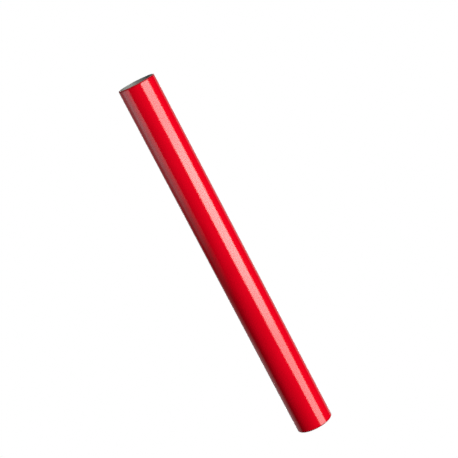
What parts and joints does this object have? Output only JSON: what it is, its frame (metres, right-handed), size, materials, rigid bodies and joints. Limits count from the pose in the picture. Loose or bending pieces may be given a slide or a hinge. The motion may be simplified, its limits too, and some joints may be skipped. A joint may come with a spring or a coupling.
{
  "type": "drawing tube",
  "caption": "Rigid round tube with a glossy cover paper and press-in end plugs, for carrying and storing rolled drawings.",
  "frame": {"origin": "middle of the bottom plug's face, on which the tube stands", "axes": "+Z along the tube towards the top plug; +X along the plugs' pull bars"},
  "size_m": [0.064, 0.064, 0.65],
  "materials": {
    "cover_paper": "gloss film laminate",
    "board": "raw grey board",
    "liner": "uncoated white paper",
    "plug": "moulded grey polyethylene"
  },
  "bodies": {
    "bottom_plug": {"bottom_plug": "plug"},
    "tube": {"liner_ply": "liner", "board_ply_1": "board", "board_ply_2": "board", "board_ply_3": "board", "board_ply_4": "board", "cover_paper": "cover_paper"},
    "top_plug": {"top_plug": "plug"}
  },
  "joints": [
    {"name": "bottom_plug_pull", "type": "slide", "parent": "bottom_plug", "child": "tube", "axis": [0, 0, 1], "range_m": [0, 0.06]},
    {"name": "top_plug_pull", "type": "slide", "parent": "tube", "child": "top_plug", "axis": [0, 0, 1], "range_m": [0, 0.06]}
  ]
}
